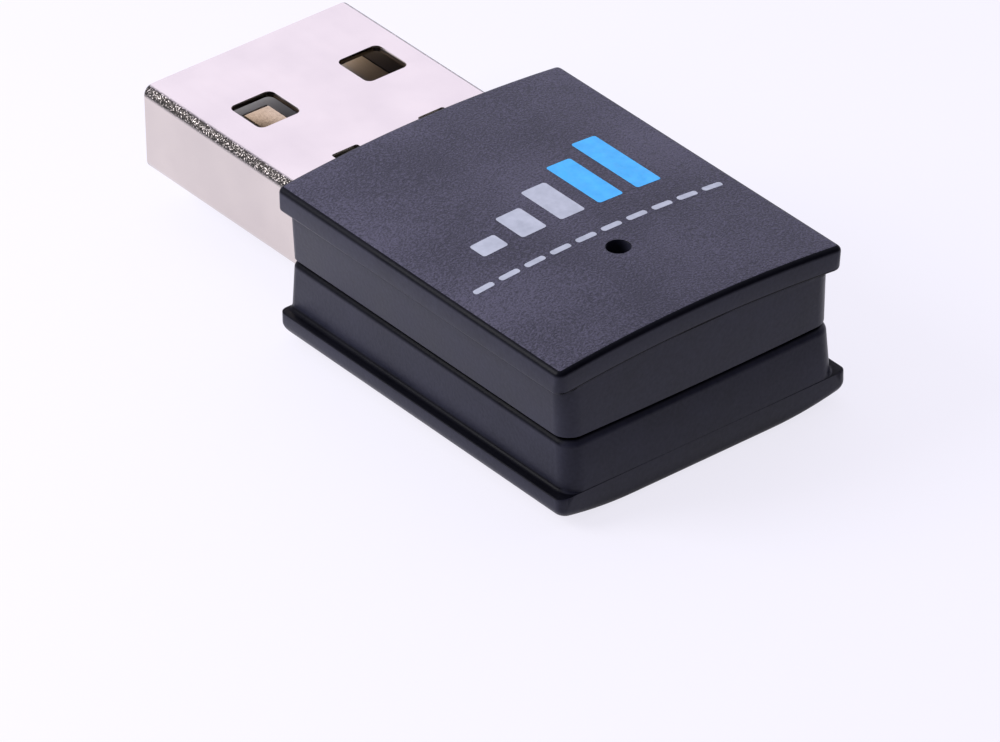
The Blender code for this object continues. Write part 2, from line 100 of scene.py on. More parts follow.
def addRod(name, x, y, low, high, radius, topRadius):
    clearSelection()
    bpy.ops.mesh.primitive_cone_add(
        vertices=facets["rod"], radius1=radius * mm, radius2=topRadius * mm,
        depth=(high - low) * mm, location=(x * mm, y * mm, (low + high) / 2 * mm))
    return settle(name)


def pick(piece, kind, test):  # selects parts of the mesh by a test, and leaves edit mode on
    makeActive(piece)
    bpy.ops.object.mode_set(mode='EDIT')
    bpy.ops.mesh.select_mode(type=kind)
    bpy.ops.mesh.select_all(action='DESELECT')
    leaveEdit()
    mesh = piece.data
    group = {'VERT': mesh.vertices, 'EDGE': mesh.edges, 'FACE': mesh.polygons}[kind]
    for item in group:
        item.select = test(item)
    bpy.ops.object.mode_set(mode='EDIT')


def ends(piece, edge):
    return [piece.data.vertices[i].co / mm for i in edge.vertices]


def along(piece, axis, extra=None):  # a test for edges that run along one axis
    def test(edge):
        a, b = ends(piece, edge)
        run = b - a
        straight = abs(run[axis]) > limits["straight"] * run.length
        return straight and (extra is None or extra((a + b) / 2))
    return test


def flatAt(piece, axis, value):  # a test for edges that lie in one plane
    def test(edge):
        return all(abs(end[axis] - value) < limits["flat"] for end in ends(piece, edge))
    return test


def roundPicked(width, segments, affect='EDGES'):
    bpy.ops.mesh.bevel(offset=width * mm, segments=segments, profile=0.5, affect=affect)
    leaveEdit()


def cutAcross(axis, value):  # one cut through the whole mesh, square to an axis
    place, normal = [0, 0, 0], [0, 0, 0]
    place[axis], normal[axis] = value * mm, 1
    bpy.ops.mesh.select_all(action='SELECT')
    bpy.ops.mesh.bisect(plane_co=place, plane_no=normal, threshold=limits["cut"])


def sliceAcross(piece, axis, low, high, cuts):  # even cuts square to one axis
    pick(piece, 'FACE', lambda face: True)
    for i in range(1, cuts):
        cutAcross(axis, low + (high - low) * i / cuts)
    leaveEdit()


def cutOnce(piece, axis, value):
    pick(piece, 'FACE', lambda face: True)
    cutAcross(axis, value)
    leaveEdit()


def push(x, y, z):  # extrudes what is picked, in millimetres
    bpy.ops.mesh.extrude_region_move(TRANSFORM_OT_translate={"value": (x * mm, y * mm, z * mm)})


def squeeze(stretchX, stretchY, middle):  # resizes what is picked about the middle of its length
    bpy.ops.transform.resize(value=(stretchX, stretchY, 1), center_override=(middle * mm, 0, 0))


def growUp(steps, middle):  # extrudes the picked cap through (rise, wide, deep) steps
    for rise, stretchX, stretchY in steps:
        push(0, 0, rise)
        squeeze(stretchX, stretchY, middle)
    bpy.ops.mesh.select_all(action='SELECT')
    bpy.ops.mesh.normals_make_consistent(inside=False)
    leaveEdit()


def liftPoints(piece, test, height):  # raises points by a height that depends on their place
    for point in piece.data.vertices:
        place = point.co / mm
        if test(place):
            point.co.z += height(place) * mm


def applyStep(piece, step):
    makeActive(piece)
    bpy.ops.object.modifier_apply(modifier=step.name)


def combine(piece, tool, operation):
    step = piece.modifiers.new("combine", 'BOOLEAN')
    step.operation = operation
    step.solver = 'EXACT'
    step.object = tool
    applyStep(piece, step)
    bpy.data.objects.remove(tool, do_unlink=True)


def softenEdges(piece, width):
    step = piece.modifiers.new("soften", 'BEVEL')
    step.width = width * mm
    step.segments = facets["soft"]
    step.limit_method = 'ANGLE'
    step.angle_limit = math.radians(limits["softAngle"])
    step.harden_normals = False
    applyStep(piece, step)


def smooth(piece):
    makeActive(piece)
    bpy.ops.object.shade_smooth_by_angle(angle=math.radians(limits["smoothAngle"]))
    clearSelection()


def coat(piece, *coats):
    piece.data.materials.clear()
    for layer in coats:
        piece.data.materials.append(layer)


def dress(piece, slotName, *replaced):
    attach(piece, "root")
    if replaced:
        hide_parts(*replaced)


print("stage: camera")
cameraSetup = {
    "target": (4.49, -2.01, -0.30),  # millimetres
    "azimuth": 51.95,
    "elevation": 33.34,
    "roll": -1.11,
    "distance": 448.2,
    "lens": 356.3,
    "sensor": 36,
    "clip": (0.01, 20),  # metres
}


def placeCamera(setup):
    az = math.radians(setup["azimuth"])
    el = math.radians(setup["elevation"])
    roll = math.radians(setup["roll"])
    back = Vector((math.sin(az) * math.cos(el), -math.cos(az) * math.cos(el), math.sin(el)))
    right = Vector((math.cos(az), math.sin(az), 0))
    up = back.cross(right)
    turn = Matrix((right, up, back)).transposed() @ Matrix.Rotation(roll, 3, 'Z')
    data = bpy.data.cameras.new("photoCamera")
    data.lens = setup["lens"]
    data.sensor_width = setup["sensor"]
    data.clip_start, data.clip_end = setup["clip"]
    camera = bpy.data.objects.new("photoCamera", data)
    bpy.context.scene.collection.objects.link(camera)
    place = (Vector(setup["target"]) + back * setup["distance"]) * mm
    camera.matrix_world = Matrix.Translation(place) @ turn.to_4x4()
    bpy.context.scene.camera = camera


placeCamera(cameraSetup)

print("stage: materials")


class NodeBench:  # short calls for building the nodes of one material or world
    def __init__(self, owner, shaderName="Principled BSDF"):
        owner.use_nodes = True
        self.owner = owner
        self.tree = owner.node_tree
        self.shader = self.tree.nodes[shaderName]
        self.coords = self.add("ShaderNodeTexCoord")

    def add(self, kind, **settings):
        node = self.tree.nodes.new(kind)
        for key, value in settings.items():
            setattr(node, key, value)
        return node

    def join(self, source, target):
        self.tree.links.new(source, target)

    def put(self, value, socket):  # sets a plain number or colour, or links a socket
        if isinstance(value, tuple):
            socket.default_value = (*value, 1.0)
        elif isinstance(value, (int, float)):
            socket.default_value = value
        else:
            self.join(value, socket)

    def noise(self, scale, detail, rough=0.5, stretch=None):
        node = self.add("ShaderNodeTexNoise")
        for key, value in (("Scale", scale), ("Detail", detail), ("Roughness", rough)):
            node.inputs[key].default_value = value
        source = self.coords.outputs["Object"]
        if stretch:
            mapping = self.add("ShaderNodeMapping")
            mapping.inputs["Scale"].default_value = stretch
            self.join(source, mapping.inputs["Vector"])
            source = mapping.outputs["Vector"]
        self.join(source, node.inputs["Vector"])
        return node.outputs["Fac"]

    def split(self, source):  # the three parts of a vector
        node = self.add("ShaderNodeSeparateXYZ")
        self.join(source, node.inputs["Vector"])
        return [node.outputs[part] for part in "XYZ"]

    def place(self):
        return self.split(self.coords.outputs["Object"])

    def tilt(self):
        return self.split(self.add("ShaderNodeNewGeometry").outputs["Normal"])

    def ramp(self, source, stops):
        node = self.add("ShaderNodeValToRGB")
        for element, (place, colour) in zip(node.color_ramp.elements, stops):
            element.position = place
            element.color = (*colour, 1.0)
        self.join(source, node.inputs["Fac"])
        return node.outputs["Color"]

    def remap(self, source, low, high, toLow=0.0, toHigh=1.0):
        node = self.add("ShaderNodeMapRange")
        for key, value in (("From Min", low), ("From Max", high), ("To Min", toLow), ("To Max", toHigh)):
            node.inputs[key].default_value = value
        self.join(source, node.inputs["Value"])
        return node.outputs["Result"]

    def math(self, operation, a, b):
        node = self.add("ShaderNodeMath", operation=operation)
        for socket, value in zip(node.inputs, (a, b)):
            self.put(value, socket)
        return node.outputs["Value"]

    def times(self, a, b):
        return self.math('MULTIPLY', a, b)

    def share(self, first, second, parts):  # a weighted sum
        return self.math('ADD', self.times(first, parts[0]), self.times(second, parts[1]))

    def bump(self, height, distance, strength, after=None):
        node = self.add("ShaderNodeBump")
        node.inputs["Strength"].default_value = strength
        node.inputs["Distance"].default_value = distance
        self.join(height, node.inputs["Height"])
        if after is not None:
            self.join(after, node.inputs["Normal"])
        return node.outputs["Normal"]

    def blend(self, factor, first, second, how='MIX'):  # a mix of two colours
        node = self.add("ShaderNodeMix", data_type='RGBA', blend_type=how)
        for key, value in (("Factor", factor), ("A", first), ("B", second)):
            self.put(value, node.inputs[key])
        return node.outputs["Result"]

    def feed(self, sockets):
        for name, value in sockets.items():
            self.put(value, self.shader.inputs[name])


def materialBench(name):
    return NodeBench(bpy.data.materials.new(name))


topLook = {  # noise as scale, detail and roughness; bumps as metres and strength
    "grain": (9000, 2, 0.6), "coarse": (2600, 2, 0.5), "cloud": (160, 3), "parts": (0.7, 0.3),
    "colours": ((0.41, (0.013, 0.012, 0.028)), (0.58, (0.066, 0.061, 0.100))),
    "rough": (0.3, 0.7, 0.46, 0.64), "specular": 0.33,
    "grainBump": (0.00008, 0.9), "coarseBump": (0.00004, 0.25),
}


def plasticTop():  # fine spark-eroded grain
    look = topLook
    m = materialBench("case_top_grain")
    grain = m.noise(*look["grain"])
    coarse = m.noise(*look["coarse"])
    cloud = m.noise(*look["cloud"])
    m.feed({
        "Base Color": m.ramp(m.share(grain, cloud, look["parts"]), look["colours"]),
        "Roughness": m.remap(grain, *look["rough"]),
        "Normal": m.bump(grain, *look["grainBump"], m.bump(coarse, *look["coarseBump"])),
        "Specular IOR Level": look["specular"],
    })
    return m.owner


sideLook = {  # limits of tilt as parts of a unit normal, heights in metres
    "cloud": (420, 3), "fine": (5200, 2), "parts": (0.6, 0.4),
    "colours": ((0.36, (0.014, 0.0145, 0.027)), (0.64, (0.024, 0.0245, 0.042))),
    "rough": (0.3, 0.7, 0.30, 0.40), "bump": (0.00002, 0.35),
    "nookShadeReach": 0.0009, "nookShadeSamples": 6, "nookShadeGloss": (0.35, 0.95, 0.04, 0.20),
    "rollTilt": (0.07, 0.42, 1.0, 0.22),
    "endTilt": (0.1, 0.4, 0.0, 0.8), "belowSplit": (0.0044, 0.0042),
    "underEndTilt": (0.55, 0.75), "underTilt": (-0.12, -0.3, 0.0, 0.9), "aboveSplit": (0.0046, 0.0048),
}


def plasticSide():  # smoother satin walls, with painted shade in nooks and on rolls and ledges, and a painted shadow under the plate's end
    look = sideLook
    m = materialBench("case_side_satin_and_shade")
    cloud = m.noise(*look["cloud"])
    fine = m.noise(*look["fine"])
    # painted shade: ambient occlusion darkens the colour in nooks, creases and under the flanges
    nookShade = m.add("ShaderNodeAmbientOcclusion", samples=look["nookShadeSamples"])
    nookShade.inputs["Distance"].default_value = look["nookShadeReach"]
    m.join(m.ramp(m.share(cloud, fine, look["parts"]), look["colours"]), nookShade.inputs["Color"])
    tiltX, _, tiltZ = m.tilt()
    height = m.place()[axisZ]
    shadeLevel = m.remap(tiltZ, *look["rollTilt"])  # painted shade: faces that tilt up, the rolls and ledges, are darkened
    lowEndShadeEase = m.times(m.remap(tiltX, *look["endTilt"]), m.remap(height, *look["belowSplit"]))
    shadeLevel = m.math('MAXIMUM', shadeLevel, lowEndShadeEase)  # the painted shade is eased on the closed end below the split
    # painted shadow: downward faces under the plate's end, above the split, are darkened
    underEndShadow = m.times(m.remap(tiltX, *look["underEndTilt"]), m.remap(tiltZ, *look["underTilt"]))
    underEndShadow = m.times(underEndShadow, m.remap(height, *look["aboveSplit"]))
    shadeLevel = m.times(shadeLevel, m.math('SUBTRACT', 1.0, underEndShadow))  # painted shadow under the plate's end
    # painted shade also dims the gloss in nooks and on the darkened faces
    m.feed({
        "Base Color": m.blend(1.0, nookShade.outputs["Color"], shadeLevel, 'MULTIPLY'),
        "Roughness": m.remap(cloud, *look["rough"]),
        "Normal": m.bump(fine, *look["bump"]),
        "Specular IOR Level": m.times(shadeLevel, m.remap(nookShade.outputs["AO"], *look["nookShadeGloss"])),
    })
    return m.owner


# the bands and the grain span place the painted dark reflection on the top bends; skin, wall and rim place
# the painted shade inside
nickelLook = {  # bands, skin, wall and rim in metres in from the outer faces of the shell
    "rolled": (1500, 3, 0.6, (0.05, 1.0, 1.0)), "speck": (13000, 2, 0.6), "cloud": (300, 3),
    "colours": ((0.3, (0.665, 0.595, 0.570)), (0.7, (0.725, 0.650, 0.615))),
    "bendReflectionColour": (0.030, 0.027, 0.024), "insideShadeColour": (0.11, 0.10, 0.092),
    "rough": (0.3, 0.7, 0.15, 0.27), "grain": (0.66, 0.55),
    "rolledBump": (0.000006, 0.25), "speckBump": (0.00001, 0.30), "bendBump": (0.00006, 0.8),
    "sideBand": (0.00038, 0.00026), "topBand": (0.00058, 0.00040),
    "skin": (0.00006, 0.00010), "wall": (0.00026, 0.00029), "rim": (0.0002, 0.0004),
}


def nickelPlate():  # bright plating with rolling lines, a painted dark reflection in specks with bump grain on the top bends, and painted shade inside
    look = nickelLook
    low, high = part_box("plug_shell")
    m = materialBench("bright_nickel_and_shade")
    rolled = m.noise(*look["rolled"])
    speck = m.noise(*look["speck"])
    cloud = m.noise(*look["cloud"])
    x, y, z = m.place()
    across = m.math('ABSOLUTE', y, 0)

    def below(source, limit, span):  # 0 at the first depth under an outer face, 1 at the second
        return m.remap(source, limit - span[0], limit - span[1])

    # painted dark reflection: specks of near black along the top bends
    bend = m.times(below(across, high.y, look["sideBand"]), below(z, high.z, look["topBand"]))
    bendReflectionSpecks = m.times(bend, m.remap(speck, *look["grain"]))
    plateWithBendReflection = m.blend(bendReflectionSpecks, m.ramp(cloud, look["colours"]), look["bendReflectionColour"])
    # painted shade: the cut edges and the inner faces of the shell are darkened
    inside = below(z, high.z, look["skin"])
    for source, limit, span in ((across, high.y, look["wall"]),
                                (m.times(z, -1), -low.z, look["skin"]),
                                (m.times(x, -1), -low.x, look["rim"])):
        inside = m.times(inside, below(source, limit, span))
    plain = m.bump(rolled, *look["rolledBump"], m.bump(speck, *look["speckBump"]))
    m.feed({
        "Base Color": m.blend(inside, plateWithBendReflection, look["insideShadeColour"]),
        "Roughness": m.remap(rolled, *look["rough"]),
        "Normal": m.bump(m.times(bend, speck), *look["bendBump"], plain),
        "Metallic": 1.0,
    })
    return m.owner


resinLook = {  # the tan starts at these places across, in metres, on faces that look up
    "cloud": (900, 3), "fine": (6000, 2),
    "colours": ((0.3, (0.36, 0.345, 0.32)), (0.7, (0.44, 0.425, 0.395))), "tanColour": (0.56, 0.40, 0.24),
    "tanPlace": (0.0042, 0.0047), "tanTilt": (0.5, 0.8),
    "rough": (0.3, 0.7, 0.42, 0.58), "bump": (0.00001, 0.35),
}


def insulatorResin():  # warm grey, with a tan top by the far window
    look = resinLook
    m = materialBench("olive_resin")
    cloud = m.noise(*look["cloud"])
    fine = m.noise(*look["fine"])
    tan = m.times(m.remap(m.place()[axisY], *look["tanPlace"]), m.remap(m.tilt()[axisZ], *look["tanTilt"]))
    m.feed({
        "Base Color": m.blend(tan, m.ramp(cloud, look["colours"]), look["tanColour"]),
        "Roughness": m.remap(fine, *look["rough"]),
        "Normal": m.bump(fine, *look["bump"]),
    })
    return m.owner


mottleLook = {"cloudDetail": 3, "fine": (6000, 2), "span": (0.3, 0.7), "bump": (0.00001, 0.35)}


def mottled(name, dark, light, scale, roughLow, roughHigh, metallic=0.0):
    look = mottleLook
    low, high = look["span"]
    m = materialBench(name)
    cloud = m.noise(scale, look["cloudDetail"])
    fine = m.noise(*look["fine"])
    m.feed({
        "Base Color": m.ramp(cloud, ((low, dark), (high, light))),
        "Roughness": m.remap(fine, low, high, roughLow, roughHigh),
        "Normal": m.bump(fine, *look["bump"]),
        "Metallic": metallic,
    })
    return m.owner


mottledLooks = {  # name, dark and light colours, scale, roughness from and to, metallic
    "gilt_contact": ("gold_flash", (0.45, 0.33, 0.20), (0.55, 0.41, 0.26), 900, 0.20, 0.34, 1.0),
    "board_laminate": ("green_mask", (0.012, 0.09, 0.045), (0.022, 0.14, 0.07), 700, 0.25, 0.42),
    "chip_resin": ("chip_black", (0.016, 0.016, 0.018), (0.030, 0.030, 0.032), 2500, 0.40, 0.58),
    "can_steel": ("can_lid", (0.55, 0.55, 0.56), (0.68, 0.68, 0.69), 900, 0.22, 0.36, 1.0),
    "ferrite": ("dark_ferrite", (0.06, 0.06, 0.07), (0.11, 0.11, 0.12), 2500, 0.50, 0.70),
    "lamp_resin": ("lamp_resin", (0.78, 0.79, 0.70), (0.90, 0.90, 0.84), 900, 0.14, 0.24),
    "ceramic": ("tan_ceramic", (0.34, 0.24, 0.16), (0.48, 0.35, 0.24), 2500, 0.42, 0.60),
    "resistor_glaze": ("black_glaze", (0.016, 0.016, 0.018), (0.030, 0.030, 0.034), 2500, 0.18, 0.30),
    "copper_trace": ("etched_copper", (0.66, 0.33, 0.17), (0.82, 0.46, 0.26), 2500, 0.26, 0.42, 1.0),
}
finishes = {slotName: mottled(*look) for slotName, look in mottledLooks.items()}
finishes["case_top"] = plasticTop()
finishes["case_side"] = plasticSide()
finishes["plated_shell"] = nickelPlate()
finishes["insulator_resin"] = insulatorResin()
slotOf = {part["node"]: part["material_slot"] for part in frame["record"]["subparts"]}
for nodeName, node in nodes.items():
    slotName = slotOf[nodeName]
    coat(node, finishes["case_side" if slotName == "case_plastic" else slotName])

print("stage: case")
caseForm = {  # millimetres, with counts of cuts and steps
    "crownRise": 0.45, "crownCuts": 28, "plateThick": 1.25, "plateCorner": 0.32, "frontReach": 0.1,
    "topRound": 0.30, "underCorner": 0.55, "underRound": 0.18, "printDepth": 0.012,
    "footRise": 0.50, "footLand": 8.0, "footRound": 0.5, "footSteps": 7, "footCorner": 0.4,
    "ledge": 1.54, "ledgeRound": 0.05, "soleFade": 0.1, "split": 4.2, "splitGap": 0.12,
    "rootHalf": 7.74, "rimHalf": 7.67, "fillet": 0.24, "filletSteps": 6, "embed": 0.4,
    "frontStep": 0.2, "frontCorner": 0.5, "endCorner": 0.9, "endCuts": 15,
    "upperEndStep": 0.23, "upperEndDraft": 0.04, "upperEndBulge": 0.10, "upperRimRound": 0.05,
    "lowerEndStep": 0.19, "lowerEndDraft": 0.187, "lowerEndBulge": 0.02, "lowerRimRound": 0.36,
    "wall": 1.1, "floorTop": 1.1, "ceiling": 1.1, "roomFront": 1.2, "roomEnd": 1.15, "roomRise": 3,
    "lipThick": 0.5, "lipRise": 0.9, "lipFront": 0.7, "lipEnd": 0.65, "lipRound": 0.35, "lipGap": 0.1,
    "rebateFront": 0.65, "rebateEnd": 0.6, "rebateGap": 0.05, "over": 1,
    "openingOut": 2, "openingIn": 3, "openingGap": 0.05, "openingRound": 0.55,
    "ledBore": 1.12, "ledRim": 0.035, "ledToEnd": 6.0, "ledDepth": 2.2, "ledStep": 0.002,
    "grainFacing": 0.93, "grainDepth": 0.3,
}
upperLow, upperHigh = [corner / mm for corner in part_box("upper_case")]
lowerLow, lowerHigh = [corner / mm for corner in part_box("lower_case")]
shellLow, shellHigh = [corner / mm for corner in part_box("plug_shell")]
faceX, endX, caseHalf = lowerLow.x, lowerHigh.x, lowerHigh.y
topHalf = upperHigh.y
sideTop = upperHigh.z - caseForm["crownRise"] - caseForm["printDepth"]
middleX = (faceX + endX) / 2


def crownAt(y):
    return caseForm["crownRise"] * (1 - (y / topHalf) ** 2)


def soleAt(y):
    land = caseForm["footLand"] / 2
    past = max(0.0, abs(y) - land)
    return caseForm["footRise"] * (past / (caseHalf - land)) ** 2


def coreSheet(name, height, endStep, bulge):  # plan of the drawn-in wall at the split
    f = caseForm
    end = endX - endStep
    piece = addSheet(name, faceX + f["frontStep"], end, f["rimHalf"], height)
    pick(piece, 'VERT', lambda point: point.co.x / mm < middleX)
    roundPicked(f["frontCorner"], facets["low"], 'VERTICES')
    pick(piece, 'VERT', lambda point: point.co.x / mm > end - limits["near"])
    roundPicked(f["endCorner"], facets["fine"], 'VERTICES')
    pick(piece, 'EDGE', flatAt(piece, axisX, end))
    bpy.ops.mesh.subdivide(number_cuts=f["endCuts"])
    leaveEdit()
    for point in piece.data.vertices:
        if point.co.x / mm > end - f["endCorner"] - limits["near"]:
            point.co.x -= bulge * (point.co.y / mm / f["rimHalf"]) ** 2 * mm
    return piece


def raiseWall(half, rim, root):  # wall of one half, from the split to its flange
    f = caseForm
    side = 1 if root > rim else -1
    piece = coreSheet(half + "Wall", rim, f[half + "EndStep"], f[half + "EndBulge"])
    pick(piece, 'FACE', lambda face: True)
    halves = [f["rimHalf"], f["rootHalf"]]
    heights = [rim, root - side * f["fillet"]]
    for i in range(1, f["filletSteps"] + 1):
        turn = math.radians(90 * i / f["filletSteps"])
        heights.append(root - side * f["fillet"] * (1 - math.sin(turn)))
        halves.append(f["rootHalf"] + f["fillet"] * (1 - math.cos(turn)))
    heights.append(root + side * f["embed"])
    halves.append(halves[-1])
    steps = []
    for i in range(1, len(heights)):
        grow = 1 + 2 * f[half + "EndDraft"] / (endX - faceX) if i == 1 else 1.0
        steps.append((heights[i] - heights[i - 1], grow, halves[i] / halves[i - 1]))
    growUp(steps, middleX)
    pick(piece, 'EDGE', flatAt(piece, axisZ, rim))
    roundPicked(f[half + "RimRound"], facets["roll"])
    return piece


def plugOpening():
    f = caseForm
    gap = f["openingGap"]
    opening = addBox("opening", (faceX - f["openingOut"], shellLow.y - gap, shellLow.z - gap),
                     (faceX + f["openingIn"], shellHigh.y + gap, shellHigh.z + gap))
    pick(opening, 'EDGE', along(opening, axisX))
    roundPicked(f["openingRound"], facets["corner"])
    return opening


def spreadCorners(piece, height, small, large):  # widens the closed end's corner arcs at one height
    for point in piece.data.vertices:
        place = point.co / mm
        atEnd = place.x > upperHigh.x - small - limits["hair"]
        if atEnd and abs(place.z - height) < limits["near"]:
            side = math.copysign(1, place.y)
            outX = place.x - upperHigh.x + small
            outY = place.y - side * (topHalf - small)
            point.co.x = (upperHigh.x - large + outX * large / small) * mm
            point.co.y = (side * (topHalf - large) + outY * large / small) * mm


def buildUpper():
    f = caseForm
    plateFloor = sideTop - f["plateThick"]
    piece = addBox("upperShell", (upperLow.x - f["frontReach"], -topHalf, plateFloor),
                   (upperHigh.x, topHalf, sideTop))
    pick(piece, 'EDGE', along(piece, axisZ))
    roundPicked(f["plateCorner"], facets["corner"])
    spreadCorners(piece, plateFloor, f["plateCorner"], f["underCorner"])
    pick(piece, 'EDGE', flatAt(piece, axisZ, sideTop))
    roundPicked(f["topRound"], facets["corner"])
    pick(piece, 'EDGE', flatAt(piece, axisZ, plateFloor))
    roundPicked(f["underRound"], facets["edge"])
    sliceAcross(piece, axisY, -topHalf + f["plateCorner"], topHalf - f["plateCorner"], f["crownCuts"])
    liftPoints(piece, lambda place: True, lambda place: crownAt(place.y))
    rim = f["split"] + f["splitGap"] / 2
    combine(piece, raiseWall("upper", rim, plateFloor + crownAt(f["rootHalf"])), 'UNION')
    roomHalf = f["rimHalf"] - f["wall"]
    lipHalf = roomHalf + f["lipThick"] + f["rebateGap"]
    cutFloor = f["split"] - f["over"]
    ledX = endX - f["ledToEnd"]
    bore = f["ledBore"] / 2
    top = sideTop + crownAt(0)
    combine(piece, addBox("room", (faceX + f["roomFront"], -roomHalf, cutFloor),
                          (endX - f["roomEnd"], roomHalf, sideTop - f["ceiling"])), 'DIFFERENCE')
    combine(piece, addBox("rebate", (faceX + f["rebateFront"], -lipHalf, cutFloor),
                          (endX - f["rebateEnd"], lipHalf, f["split"] + f["lipRise"])), 'DIFFERENCE')
    combine(piece, plugOpening(), 'DIFFERENCE')
    combine(piece, addRod("ledBore", ledX, 0, sideTop - f["ledDepth"], top + f["over"],
                          bore, bore), 'DIFFERENCE')
    combine(piece, addRod("ledRim", ledX, 0, top - f["ledRim"], top + f["ledRim"],
                          bore - f["ledStep"], bore + 2 * f["ledRim"]), 'DIFFERENCE')
    smooth(piece)
    return piece


def rollFoot():  # draws the picked sole inwards in short steps
    f = caseForm
    inset = 0.0
    for i in range(1, f["footSteps"] + 1):
        turn = math.radians(90 * i / f["footSteps"])
        last = math.radians(90 * (i - 1) / f["footSteps"])
        drawn = f["footRound"] * (math.cos(last) - math.cos(turn))
        inset += drawn
        push(0, 0, -(f["footRound"] * (math.sin(turn) - math.sin(last))))
        leftX = (endX - faceX) / 2 - inset + drawn
        leftY = caseHalf - inset + drawn
        squeeze(1 - drawn / leftX, 1 - drawn / leftY, middleX)
    leaveEdit()


def buildLower():
    f = caseForm
    piece = addBox("lowerShell", (faceX, -caseHalf, f["footRound"]), (endX, caseHalf, f["ledge"]))
    pick(piece, 'EDGE', along(piece, axisZ))
    roundPicked(f["footCorner"], facets["corner"])
    pick(piece, 'FACE', lambda face: face.normal.z < -limits["facing"])
    rollFoot()
    onLedge = flatAt(piece, axisZ, f["ledge"])
    pick(piece, 'EDGE', lambda edge: onLedge(edge)
         and min(p.x for p in ends(piece, edge)) < endX - limits["near"])
    roundPicked(f["ledgeRound"], facets["least"])
    sliceAcross(piece, axisY, -caseHalf + f["footCorner"], caseHalf - f["footCorner"], f["crownCuts"])
    fadeTop = f["ledge"] - f["soleFade"]
    liftPoints(piece, lambda place: place.z < fadeTop,
               lambda place: soleAt(place.y) * min(1.0, (fadeTop - place.z) / (fadeTop - f["footRound"])))
    rim = f["split"] - f["splitGap"] / 2
    combine(piece, raiseWall("lower", rim, f["ledge"]), 'UNION')
    roomHalf = f["rimHalf"] - f["wall"]
    lipHalf = roomHalf + f["lipThick"]
    lip = addBox("lip", (faceX + f["lipFront"], -lipHalf, rim - f["over"]),
                 (endX - f["lipEnd"], lipHalf, rim + f["lipRise"] - f["lipGap"]))
    pick(lip, 'EDGE', along(lip, axisZ))
    roundPicked(f["lipRound"], facets["edge"])
    combine(piece, lip, 'UNION')
    combine(piece, addBox("room", (faceX + f["roomFront"], -roomHalf, f["floorTop"]),
                          (endX - f["roomEnd"], roomHalf, f["split"] + f["roomRise"])), 'DIFFERENCE')
    combine(piece, plugOpening(), 'DIFFERENCE')
    smooth(piece)
    return piece


upperShell = buildUpper()
lowerShell = buildLower()
coat(upperShell, finishes["case_side"], finishes["case_top"])
coat(lowerShell, finishes["case_side"])
grainFloor = sideTop - caseForm["grainDepth"]
for face in upperShell.data.polygons:
    if face.normal.z > caseForm["grainFacing"] and face.center.z / mm > grainFloor:
        face.material_index = 1
dress(upperShell, "case_plastic", "upper_case")
dress(lowerShell, "case_plastic", "lower_case")

print("stage: plug")
plugForm = {  # millimetres
    "sheet": 0.3, "bend": 0.5, "cuts": 24, "edgeSoft": 0.04, "over": 1,
    "windowLong": 2.45, "windowWide": 2.42, "windowRound": 0.35, "windowSetback": 5.2, "windowSpacing": 6.26,
    "latchLong": 1.5, "latchWide": 1.5, "latchRound": 0.12, "latchSetback": 1.9, "latchSpacing": 5.0,
    "punchShift": 0.2, "tabReach": 1.6, "tabHalf": 0.75, "boardTop": 3.35,
    "backLong": 4, "backHalf": 9, "backTop": 12, "backFloor": -3,
}


def punch(piece, kind, side, x, low, high):  # a rounded hole at one side of the shell's middle
    f = plugForm
    y = side * f[kind + "Spacing"] / 2 + f["punchShift"]
    long, wide = f[kind + "Long"], f[kind + "Wide"]
    hole = addBox("hole", (x - long / 2, y - wide / 2, low), (x + long / 2, y + wide / 2, high))
    pick(hole, 'EDGE', along(hole, axisZ))
    roundPicked(f[kind + "Round"], facets["corner"])
    combine(piece, hole, 'DIFFERENCE')


def buildSleeve():
    f = plugForm
    piece = addBox("plugSleeve", shellLow, shellHigh)
    pick(piece, 'FACE', lambda face: abs(face.normal.x) > limits["facing"])
    bpy.ops.mesh.delete(type='FACE')
    leaveEdit()
    pick(piece, 'EDGE', along(piece, axisX))
    roundPicked(f["bend"], facets["fine"])
    step = piece.modifiers.new("sheet", 'SOLIDIFY')
    step.thickness = f["sheet"] * mm
    step.offset = -1
    applyStep(piece, step)
    sliceAcross(piece, axisX, shellLow.x, shellHigh.x, f["cuts"])
    above = shellHigh.z + f["over"]
    for side in (-1, 1):
        punch(piece, "window", side, shellLow.x + f["windowSetback"], shellLow.z - f["over"], above)
        punch(piece, "latch", side, faceX - f["latchSetback"], (shellLow.z + shellHigh.z) / 2, above)
    rear = shellHigh.x - f["tabReach"]
    half = f["backHalf"]
    for low, high in ((f["boardTop"] + f["tabHalf"], f["backTop"]),
                      (f["backFloor"], f["boardTop"] - f["tabHalf"])):  # leaves the solder tabs
        combine(piece, addBox("back", (rear, -half, low), (rear + f["backLong"], half, high)), 'DIFFERENCE')
    softenEdges(piece, f["edgeSoft"])
    smooth(piece)
    step = piece.modifiers.new("flatFaces", 'WEIGHTED_NORMAL')  # keeps the punched faces flat in reflections
    step.keep_sharp = True
    applyStep(piece, step)
    return piece


plugSleeve = buildSleeve()
coat(plugSleeve, finishes["plated_shell"])
dress(plugSleeve, "plated_shell", "plug_shell")

print("stage: insulator and contacts")
resinLow, resinHigh = [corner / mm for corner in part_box("plug_insulator")]
tongueForm = {  # millimetres
    "thick": 1.84, "blockReach": 3.2, "edge": 0.25, "frontRound": 0.15, "soft": 0.05, "gap": 0.02,
    "pocketLow": (1.15, 1.0, 3.0), "pocketHigh": (1.3, 1.3, 1),  # out from the middle of a latch slot
}
stripForm = {"thick": 0.25, "foot": 1.1, "tipRound": 0.2, "soft": 0.03}  # millimetres
contactNames = ("contact_power", "contact_data_minus", "contact_data_plus", "contact_ground")


